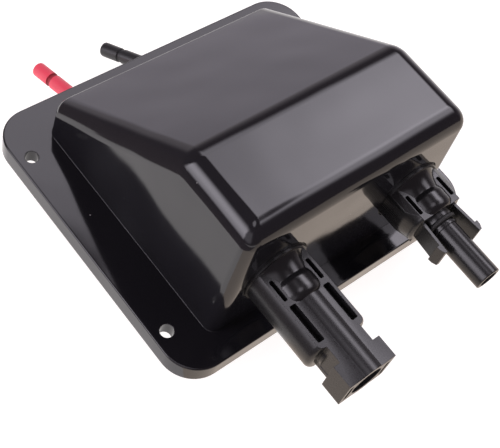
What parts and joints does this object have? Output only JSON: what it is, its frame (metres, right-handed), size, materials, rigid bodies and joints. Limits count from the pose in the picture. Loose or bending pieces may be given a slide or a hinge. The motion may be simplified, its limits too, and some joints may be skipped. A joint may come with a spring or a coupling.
{
  "type": "solar cable entry housing",
  "caption": "Sloped plastic roof housing with a screw-down flange; a socket and a plug panel connector face forward, and their wires leave under the back edge.",
  "frame": {"origin": "middle of the flange's underside, in the plane that lies on the roof", "axes": "+X to the right seen from the connectors' side, +Y from the connectors to the wires' end, +Z away from the roof"},
  "size_m": [0.12, 0.1565, 0.0699],
  "materials": {
    "housing": "glossy moulded black",
    "connector": "satin moulded black",
    "seal": "matt black rubber",
    "contact": "tin plated",
    "clip": "spring steel",
    "copper": "bare copper strands",
    "red_insulation": "satin red insulation",
    "black_insulation": "satin black insulation"
  },
  "bodies": {
    "root": {"housing_shell": "housing", "socket_body": "connector", "socket_contact": "contact", "socket_contact_clip": "clip", "socket_wall_seal": "seal", "socket_lock_nut": "connector", "socket_wire_seal": "seal", "socket_wire_grip": "connector", "socket_gland_cap": "connector", "socket_wire_strands": "copper", "plug_body": "connector", "plug_contact": "contact", "plug_contact_clip": "clip", "plug_wall_seal": "seal", "plug_tube_seal": "seal", "plug_lock_nut": "connector", "plug_wire_seal": "seal", "plug_wire_grip": "connector", "plug_gland_cap": "connector", "plug_wire_strands": "copper", "red_wire": "red_insulation", "black_wire": "black_insulation"}
  },
  "joints": []
}
